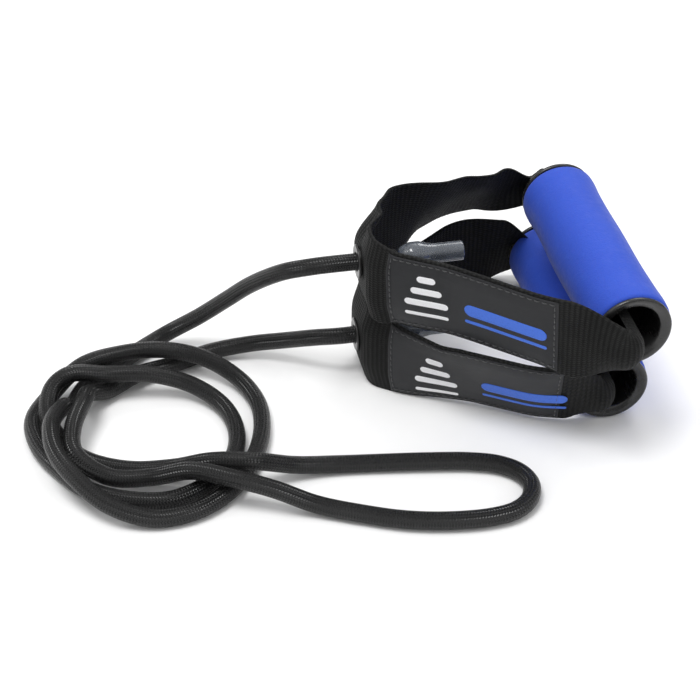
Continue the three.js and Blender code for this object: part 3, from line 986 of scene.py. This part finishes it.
def build_cap(handle, place, facing, centre, material):
    """A flared end cap: rolled lip, funnel mouth and a spigot inside the tube."""
    node = f"{handle['name']}_{place}_cap"
    low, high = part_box(node)
    face = low.y if facing < 0 else high.y
    profile = [
        (13.9, 0.2, 0.5), (15.0, -0.1, 0.8), (16.1, 0.2, 0.7), (16.1, 1.9, 0.6), (12.2, 2.0, 0.2),
        (12.2, 15.9, 0.4), (11.3, 15.9, 0.3), (11.3, 1.5, 1.6),
    ]
    corners = [(r, -facing * h, fillet) for r, h, fillet in profile]
    middle = Vector((centre.x, face, centre.z))
    cap = turned_piece(f"{handle['name']}_{place}_end_cap", corners, middle, "y", step=0.6 * MM)
    finish_piece(cap, material, handle["grip_body"], (node,))


def build_eyelet(handle, material):
    node = f"{handle['name']}_eyelet"
    corners = [
        (4.2, -2.3, 0.35), (7.4, -2.3, 0.6), (7.4, -1.5, 0.2), (5.2, -1.5, 0.1),
        (5.2, 1.5, 0.1), (7.4, 1.5, 0.2), (7.4, 2.3, 0.6), (4.2, 2.3, 0.35),
    ]
    eyelet = turned_piece(
        f"{handle['name']}_bend_eyelet", corners, node_centre(node), "x", segments=64, step=0.3 * MM
    )
    finish_piece(eyelet, material, handle["body"], (node,))


def build_cord_stop(handle, materials):
    """The bare tube end, swollen over its plug so that it can't pull through the eyelet."""
    name = handle["name"]
    low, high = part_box(f"{name}_tube_end")
    start = Vector((low.x, (low.y + high.y) / 2, (low.z + high.z) / 2))
    corners = [
        (0.0, 0.0, 0), (3.6, 0.0, 0.3), (4.6, 1.8, 2.0), (5.9, 5.0, 3.0), (5.9, 9.2, 3.0),
        (4.7, 12.8, 4.0), (4.2, 16.0, 4.0), (4.2, 28.0, 0.4), (2.8, 28.0, 0.4),
        (2.8, 12.0, 1.5), (4.3, 9.5, 1.5), (4.3, 5.4, 1.5), (2.6, 3.2, 0.8), (0.0, 3.0, 0),
    ]
    tube = turned_piece(f"{name}_bare_tube_end", corners, start, "x", segments=64, step=0.5 * MM)
    finish_piece(tube, materials["latex"], handle["body"], (f"{name}_tube_end",))
    plug = turned_piece(
        f"{name}_stop_plug",
        [
            (0.0, -3.7, 0), (2.4, -3.7, 1.2), (3.75, -1.2, 2.2),
            (3.75, 1.4, 2.0), (2.2, 3.7, 1.0), (0.0, 3.7, 0),
        ],
        node_centre(f"{name}_cord_plug"), "x", segments=48, step=0.3 * MM,
    )
    finish_piece(plug, materials["tube"], handle["body"], (f"{name}_cord_plug",))


# ------------------------------------------------------------ camera and studio

def make_camera():
    data = bpy.data.cameras.new("camera")
    data.lens = CAMERA_LENS
    data.sensor_width = SENSOR_WIDTH
    data.clip_start, data.clip_end = 0.01, 20
    camera = bpy.data.objects.new("camera", data)
    forward = CAMERA_FORWARD.normalized()
    camera.location = CAMERA_TARGET - forward * CAMERA_DISTANCE
    camera.rotation_euler = forward.to_track_quat("-Z", "Y").to_euler()
    bpy.context.collection.objects.link(camera)
    bpy.context.scene.camera = camera


def area_light(name, place, aim, size, power):
    data = bpy.data.lights.new(name, "AREA")
    data.shape = "DISK"
    data.size = size
    data.energy = power
    light = bpy.data.objects.new(name, data)
    light.location = place
    light.rotation_euler = (Vector(aim) - Vector(place)).to_track_quat("-Z", "Y").to_euler()
    bpy.context.collection.objects.link(light)


def make_world():
    """A white sky: bright overhead and darker towards the horizon."""
    world = bpy.data.worlds.new("studio")
    bpy.context.scene.world = world
    world.use_nodes = True
    nodes, links = world.node_tree.nodes, world.node_tree.links
    place = nodes.new("ShaderNodeTexCoord")
    split = nodes.new("ShaderNodeSeparateXYZ")
    ramp = nodes.new("ShaderNodeMapRange")
    for socket, value in zip(ramp.inputs[1:5], (*SKY_RISE, HORIZON_LIGHT, ZENITH_LIGHT)):
        socket.default_value = value
    links.new(place.outputs["Generated"], split.inputs[0])
    links.new(split.outputs[2], ramp.inputs[0])
    links.new(ramp.outputs[0], nodes["Background"].inputs["Strength"])
    nodes["Background"].inputs["Color"].default_value = (1, 1, 1, 1)


def make_studio(floor_finish):
    bpy.ops.mesh.primitive_plane_add(size=FLOOR_SIZE)
    floor = bpy.context.object
    floor.name = "floor"
    floor.data.materials.append(floor_finish)
    make_world()
    for name, place, size, power in LIGHTS:
        area_light(name, place, LIGHTS_AIM, size, power)
    bpy.context.scene.view_settings.view_transform = "Standard"


make_camera()
materials = make_materials()
build_cord(materials["sleeve"])
for each in (LOWER, UPPER):
    surface = Webbing(each)
    build_strap(each, surface, materials["webbing"])
    build_label(each, surface, materials)
    build_grip(each, materials)
    build_eyelet(each, materials["eyelet"])
    build_cord_stop(each, materials)
make_studio(materials["floor"])

bpy.context.view_layer.update()
